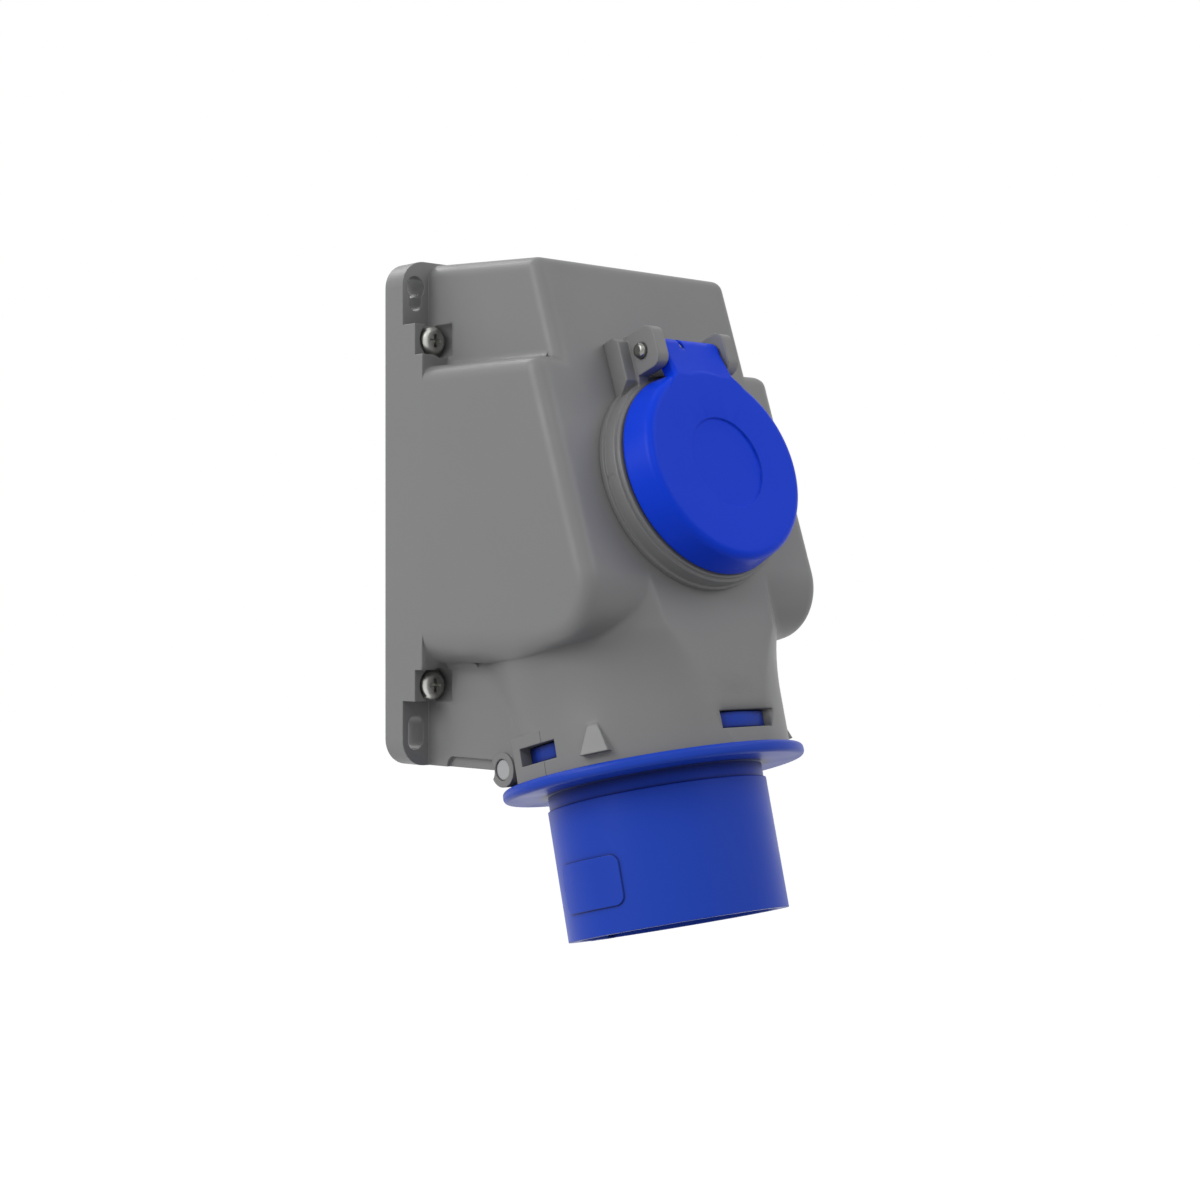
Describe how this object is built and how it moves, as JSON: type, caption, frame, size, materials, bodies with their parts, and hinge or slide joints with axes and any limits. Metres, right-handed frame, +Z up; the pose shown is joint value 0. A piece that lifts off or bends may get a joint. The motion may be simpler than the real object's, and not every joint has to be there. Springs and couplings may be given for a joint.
{
  "type": "angled pin and sleeve inlet",
  "caption": "Wall box with a slanted three-pin industrial power inlet pointing down, feeding an earthed socket outlet behind a sprung round lid on the sloping front.",
  "frame": {"origin": "middle of the back face, in the wall plane, on the centre line and half-way up the wall box", "axes": "+Y points into the wall, the front looks along -Y, +Z is up, +X is to the right as seen from the front"},
  "size_m": [0.0738, 0.0843, 0.1564],
  "materials": {
    "grey_plastic": "fine satin moulded",
    "light_plastic": "satin moulded",
    "blue_plastic": "satin moulded",
    "black_plastic": "satin moulded",
    "seal_rubber": "smooth",
    "zinc_steel": "zinc plated",
    "nickel_brass": "nickel plated",
    "brass": "bright",
    "brown_cover": "smooth",
    "blue_cover": "smooth",
    "green_cover": "smooth, green with yellow stripe"
  },
  "bodies": {
    "base": {"housing": "grey_plastic", "back_plate": "grey_plastic", "back_gasket": "seal_rubber", "housing_screws": "zinc_steel", "lid_frame": "grey_plastic", "hinge_pin": "zinc_steel", "lid_spring": "zinc_steel", "socket_body": "light_plastic", "contact_line": "brass", "contact_neutral": "brass", "earth_contact": "nickel_brass", "socket_cover": "light_plastic", "cover_screws": "zinc_steel", "socket_screws": "zinc_steel", "inlet_body": "blue_plastic", "inlet_seal": "seal_rubber", "retaining_pins": "light_plastic", "pin_carrier": "black_plastic", "pin_line": "nickel_brass", "pin_neutral": "nickel_brass", "pin_earth": "nickel_brass", "terminal_screws": "zinc_steel", "lead_line": "brown_cover", "lead_neutral": "blue_cover", "lead_earth": "green_cover"},
    "lid": {"lid": "blue_plastic", "lid_seal": "seal_rubber"}
  },
  "joints": [
    {"name": "lid_hinge", "type": "hinge", "parent": "base", "child": "lid", "pos_m": [0, -0.06012, 0.0343], "axis": [-1, 0, 0], "range_deg": [0, 110], "stiffness_Nm_per_rad": 0.02, "springref_deg": -28.65, "deforming": ["lid_spring"]}
  ]
}
